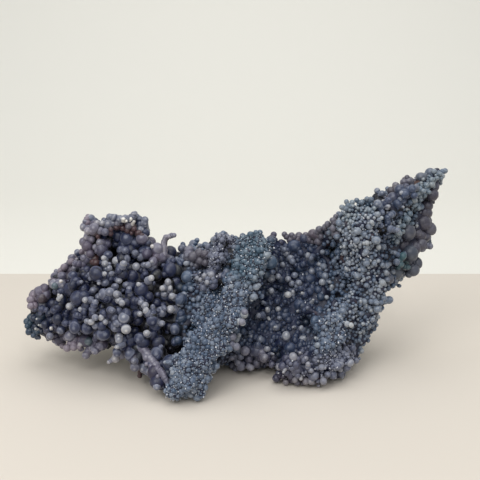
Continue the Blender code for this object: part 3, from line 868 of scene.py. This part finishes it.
        (343, 207, 1.9), (347, 203, 2.0), (352, 203, 2.0), (357, 201, 2.0), (362, 203, 2.0),
        (366, 199, 1.8), (370, 200, 2.2), (341, 215, 1.9), (339, 223, 2.2), (337, 235, 2.6),
        (347, 234, 2.2), (358, 230, 2.5), (363, 235, 2.4), (357, 241, 2.4), (369, 226, 2.2),
        (369, 211, 1.8), (378, 204, 3.0), (377, 215, 2.2), (382, 213, 2.0), (376, 240, 3.2),
        (366, 248, 2.8), (365, 253, 2.2), (346, 252, 2.6), (335, 261, 2.0), (337, 266, 2.0),
        (366, 262, 2.4), (375, 263, 2.2), (363, 269, 2.4), (357, 275, 2.6), (365, 306, 2.4),
        (376, 302, 2.0), (383, 297, 2.6), (389, 300, 2.9), (342, 312, 2.6)]},
    "humpWhite": {"depth": -0.3, "tone": 1.15, "at": [
        (349, 215, 1.6), (372, 222, 1.5), (374, 209, 1.4), (381, 218, 1.3), (367, 242, 1.9),
        (378, 247, 2.0), (344, 246, 1.3), (350, 263, 1.4), (347, 269, 1.4), (383, 267, 1.6),
        (386, 273, 1.8), (371, 310, 1.5), (363, 324, 1.5), (340, 230, 1.2), (351, 222, 1.4)]},
}


# stone

chalcedonyLook = {
    # lightness and colour: the root, the deep (mostly where the painted shade darkens), the body, the pale
    # skin, the frost and the glint, which the whitest specks and painted glints reach
    "levels": {0.4: "#010208", 0.6: "#101837", 0.84: "#303752", 1.06: "#717584", 1.3: "#a9a9ab",
               1.7: "#efece4"},
    "span": 1.8,
    # painted light on each grape by height, root to tip: painted shade at the root, a pale rim band, a
    # painted highlight at the tip
    "paintedRimAndTip": {0.1: "#000000", 0.36: "#c8c8c8", 0.5: "#ffffff", 0.62: "#dadada", 0.8: "#8c8c8c",
              0.93: "#909090", 0.985: "#ffffff"},
    # how much lighter or darker each attribute makes it, most of it painted light and shade:
    # openness, tip, nodule and gap: painted shade in hollows, at roots, in creases and gaps; crowded: painted
    # light on the hump and column
    "weights": {"openness": 0.56, "tip": 0.1, "tone": 0.28, "nodule": 0.08, "head": -0.05, "crowded": 0.12,
                "navy": -0.16, "gap": -0.14},
    "paintedRimAndTipWeight": 0.26, "frostWeight": 0.1, "frostFrom": 0.84, "mottleWeight": 0.1, "grainWeight": 0.08,
    # tint and its share, by attribute; navy in the hollows is partly the stone's blue and partly painted
    # shade
    "tints": {"fine": ("#4c667c", 0.45), "teal": ("#2a5658", 0.4), "pink": ("#80707a", 0.35),
              "rust": ("#45271f", 0.42), "navy": ("#0f1b3a", 0.45), "umber": ("#474145", 0.6)},
    # length of the marks, and their detail; real frost is finer and is drawn this coarse to show
    "noises": {"mottle": (9 * mm, 3), "grain": (0.5 * mm, 2)}, "bump": 0.25, "bumpHeight": 0.2 * mm,
    # as it grew, not polished: a soft gloss under a frosted skin, and light goes a little way in
    "surface": {"IOR": 1.54, "Roughness": 0.42, "Sheen Weight": 0.28, "Sheen Roughness": 0.35,
                "Sheen Tint": linear("#d6d3da"), "Coat Weight": 0.12, "Coat Roughness": 0.2,
                "Subsurface Weight": 0.12, "Subsurface Radius": (1.0, 0.9, 1.0),
                "Subsurface Scale": 1.2 * mm},
}
crustLook = {
    # near black, lighter where open and darker in gaps, navy places and on the head: painted shade over the
    # crust's indigo
    "dark": "#010208", "light": "#101837", "rust": "#45271f", "navy": "#0f1b3a", "mauve": "#685d68",
    "darkUpTo": 0.3,
    "weights": {"openness": 0.7, "gap": -0.4, "navy": -0.3, "head": -0.3}, "grainWeight": 0.3,
    "rustWeights": {"rust": 0.45, "head": -0.12}, "rustEdge": (0.62, 0.78), "mauveShare": 0.85,
    "noises": {"patch": (7 * mm, 4), "grain": (0.9 * mm, 3)}, "bump": 0.6, "bumpHeight": 0.5 * mm,
    "surface": {"IOR": 1.54, "Roughness": 0.5},
}
quartzLook = {"dull": "#a9adb8", "clear": "#f2f2f4", "noises": {"cloud": (4 * mm, 2)},
              "surface": {"IOR": 1.54, "Roughness": 0.12}}


def weighted(tree, *terms):
    # sum of value * weight, where a value is a socket or the name of one of the mesh's attributes
    total = 0.0
    for value, weight in terms:
        if isinstance(value, str):
            value = addNode(tree, "ShaderNodeAttribute", attribute_type="GEOMETRY",
                            attribute_name=value).outputs["Fac"]
        total = addNode(tree, "ShaderNodeMath", {0: value, 1: weight, 2: total},
                        operation="MULTIPLY_ADD").outputs[0]
    return total


def setStops(ramp, stops):
    # the ramp's colours, in place of the two it starts with
    elements = ramp.color_ramp.elements
    for position, code in stops:
        elements.new(position).color = linear(code)
    elements.remove(elements[0])
    elements.remove(elements[len(elements) - 1])


def newMaterial(name, look):
    # the noises are on the object's own coordinates
    stone = bpy.data.materials.new(name)
    stone.use_nodes = True
    tree = stone.node_tree
    surface = tree.nodes["Principled BSDF"]
    for key, value in look["surface"].items():
        surface.inputs[key].default_value = value
    place = addNode(tree, "ShaderNodeTexCoord").outputs["Object"]
    noises = {}
    for key, (length, detail) in look.get("noises", {}).items():
        made = addNode(tree, "ShaderNodeTexNoise", {"Vector": place, "Scale": 1 / length, "Detail": detail})
        noises[key] = made.outputs["Fac"]
    return stone, tree, surface, noises


def finishStone(tree, surface, look, colour, grain):
    bump = addNode(tree, "ShaderNodeBump", {
        "Height": grain, "Strength": look["bump"], "Distance": look["bumpHeight"]})
    tree.links.new(colour, surface.inputs["Base Color"])
    tree.links.new(bump.outputs[0], surface.inputs["Normal"])


def frostedChalcedonyAndPaintedLight():
    # grapes: indigo, with painted shade at the root and in hollows; violet grey on the side; pale at the tip,
    # partly frost and partly painted light
    look = chalcedonyLook
    stone, tree, surface, noises = newMaterial("frosted chalcedony grapes with painted light and shade", look)
    paintedRimAndTip = addNode(tree, "ShaderNodeValToRGB", {"Fac": weighted(tree, ("tip", 1))})
    setStops(paintedRimAndTip, look["paintedRimAndTip"].items())
    frosted = addNode(tree, "ShaderNodeMapRange", {
        "Value": weighted(tree, ("tone", 1)), "From Min": look["frostFrom"], "From Max": 1.0})
    lightness = weighted(tree, *look["weights"].items(), (paintedRimAndTip.outputs["Color"], look["paintedRimAndTipWeight"]),
                         (frosted.outputs[0], look["frostWeight"]), (noises["mottle"], look["mottleWeight"]),
                         (noises["grain"], look["grainWeight"]))
    shade = addNode(tree, "ShaderNodeValToRGB", {"Fac": weighted(tree, (lightness, 1 / look["span"]))})
    setStops(shade, [(level / look["span"], code) for level, code in look["levels"].items()])
    colour = shade.outputs["Color"]
    for name, (tint, share) in look["tints"].items():
        colour = addNode(tree, "ShaderNodeMix", {
            0: weighted(tree, (name, share)), 6: colour, 7: linear(tint)}, data_type="RGBA").outputs[2]
    finishStone(tree, surface, look, colour, noises["grain"])
    return stone


def crustWithPaintedShade():
    # crust between the grapes: indigo chalcedony kept near black as painted shade between the grapes, and
    # rust-brown host rock where it is bare
    look = crustLook
    stone, tree, surface, noises = newMaterial("indigo chalcedony crust with painted shade", look)
    lightness = weighted(tree, *look["weights"].items(), (noises["grain"], look["grainWeight"]))
    shade = addNode(tree, "ShaderNodeValToRGB", {"Fac": lightness})
    dark, light = shade.color_ramp.elements
    dark.color, light.color = linear(look["dark"]), linear(look["light"])
    dark.position = look["darkUpTo"]
    rusty = addNode(tree, "ShaderNodeMapRange", {
        "Value": weighted(tree, (noises["patch"], 1), *look["rustWeights"].items()),
        "From Min": look["rustEdge"][0], "From Max": look["rustEdge"][1]})
    shares = {"rust": rusty.outputs[0], "navy": weighted(tree, ("navy", 1)),
              "mauve": weighted(tree, ("bare", look["mauveShare"]))}
    colour = shade.outputs["Color"]
    for tint, share in shares.items():
        colour = addNode(tree, "ShaderNodeMix", {0: share, 6: colour, 7: linear(look[tint])},
                         data_type="RGBA").outputs[2]
    finishStone(tree, surface, look, colour, noises["grain"])
    return stone


def quartzCrystal():
    # the tiny colourless points that glint on the druse
    look = quartzLook
    stone, tree, surface, noises = newMaterial("quartz points", look)
    shade = addNode(tree, "ShaderNodeMix", {
        0: noises["cloud"], 6: linear(look["dull"]), 7: linear(look["clear"])}, data_type="RGBA")
    tree.links.new(shade.outputs[2], surface.inputs["Base Color"])
    return stone


# floor, light and camera

photoCamera = {"place": (1.3 * mm, -523.5 * mm, 248 * mm), "pitchDown": 16.5, "lens": 60,
               "pixels": 480, "focalPixels": 800}
floorLook = {"halfWidth": 3.0, "front": -2.0, "bend": 0.5, "back": 1.1, "top": 2.4, "steps": 12,
             "wallFrom": 0.2, "paints": {"pale floor": "#d1c9bd", "pale wall": "#e1dfd6"},
             "surface": {"Roughness": 0.7}}
lamps = {
    # place in metres, size in metres, watts
    "overheadLight": {"place": (0.1, 0.15, 1.2), "size": 1.2, "power": 7.4},
    "windowLight": {"place": (-0.5, -0.7, 0.9), "size": 0.7, "power": 5.5},
    "smallLight": {"place": (0.15, -0.7, 0.75), "size": 0.15, "power": 1},
}
roomLight = {"colour": "#eef0f4", "strength": 0.7}


def makeCamera():
    data = bpy.data.cameras.new("photoCamera")
    data.lens = photoCamera["lens"]
    made = newObject("photoCamera", data)
    made.location = photoCamera["place"]
    made.rotation_euler = (math.radians(90 - photoCamera["pitchDown"]), 0, 0)
    bpy.context.scene.camera = made


def makeFloor():
    # a pale sweep: flat under the specimen, bent up behind it
    look = floorLook
    radius = look["back"] - look["bend"]
    turns = [math.pi / 2 * k / look["steps"] for k in range(look["steps"] + 1)]
    profile = [(look["front"], 0), (look["wallFrom"], 0)]
    profile += [(look["bend"] + radius * math.sin(a), radius * (1 - math.cos(a))) for a in turns]
    profile += [(look["back"], look["top"])]
    corners = [(x, y, z) for y, z in profile for x in (-look["halfWidth"], look["halfWidth"])]
    faces = [(2 * k, 2 * k + 1, 2 * k + 3, 2 * k + 2) for k in range(len(profile) - 1)]
    mesh = bpy.data.meshes.new("floor")
    mesh.from_pydata(corners, [], faces)
    mesh.shade_smooth()
    floor = newObject("floor", mesh)
    for name, code in look["paints"].items():
        paint, tree, surface, noises = newMaterial(name, look)
        surface.inputs["Base Color"].default_value = linear(code)
        mesh.materials.append(paint)
    for face in mesh.polygons[1:]:
        face.material_index = 1


def makeLight():
    for name, lamp in lamps.items():
        data = bpy.data.lights.new(name, "AREA")
        data.size = lamp["size"]
        data.energy = lamp["power"]
        made = newObject(name, data)
        made.location = lamp["place"]
        made.rotation_euler = (-Vector(lamp["place"])).to_track_quat("-Z", "Y").to_euler()
    world = bpy.data.worlds.new("room")
    world.use_nodes = True
    background = world.node_tree.nodes["Background"]
    background.inputs["Color"].default_value = linear(roomLight["colour"])
    background.inputs["Strength"].default_value = roomLight["strength"]
    bpy.context.scene.world = world
    bpy.context.scene.view_settings.view_transform = "Standard"


# the specimen

def makeAgate():
    crustObject = makeCrust()
    tree = scatterTree()
    grapeStone, crustStone, quartz = frostedChalcedonyAndPaintedLight(), crustWithPaintedShade(), quartzCrystal()
    crustObject.data.materials.clear()
    crustObject.data.materials.append(crustStone)
    shapes = {name: ballsShape(name, parts) for name, parts in grapeShapes.items()}
    groups = {"stack": shapeGroup("stackShapes", list(shapes.values()))}
    shapes["smooth"] = ballsShape("smooth", **smoothShape)
    shapes.update((name, domeShape(name, dome)) for name, dome in domeShapes.items())
    groups.update((name, shapeGroup(name + "Shapes", [shapes[name]])) for name in ("single", *domeShapes))
    made = [crustObject]
    for name, layer in layers.items():
        stone = quartz if layer["shape"] == "point" else grapeStone
        made.append(scatter(name, crustObject, tree, layer, groups[layer["shape"]], stone))
    balls = {name: shapes[name] for name in ("single", "smooth")}
    made.append(placeGrapes("pictureGrapes", crustObject, pictureGrapes, balls, grapeStone))
    for shape in shapes.values():
        bpy.data.objects.remove(shape)
    for group in groups.values():
        bpy.data.collections.remove(group)
    for piece in made:
        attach(piece, "root")
        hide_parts(partNode)


makeCamera()
makeFloor()
makeLight()
makeAgate()
